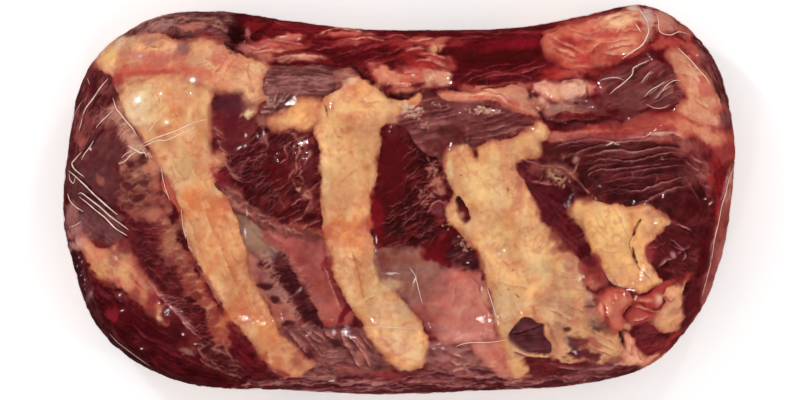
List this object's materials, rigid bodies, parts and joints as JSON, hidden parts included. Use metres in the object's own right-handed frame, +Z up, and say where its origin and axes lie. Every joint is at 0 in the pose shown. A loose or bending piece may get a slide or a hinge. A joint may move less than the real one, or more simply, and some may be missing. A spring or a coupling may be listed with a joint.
{
  "type": "vacuum-packed beef entrecote",
  "caption": "Boneless beef rib-eye roll in tight clear vacuum film: flat-bottomed pillow with fat straps where the ribs were and a seam under the lip muscle.",
  "frame": {"origin": "middle of the pack's length and width, on the plane it rests on", "axes": "+X along the loin, +Y towards the lip muscle, +Z up, away from the fat cap"},
  "size_m": [0.2966, 0.1726, 0.0858],
  "materials": {
    "packed_meat": "raw beef and fat, wet and glossy under clear film",
    "clear_film": "thin clear glossy film"
  },
  "bodies": {
    "root": {"packed_entrecote": "packed_meat"}
  },
  "joints": []
}
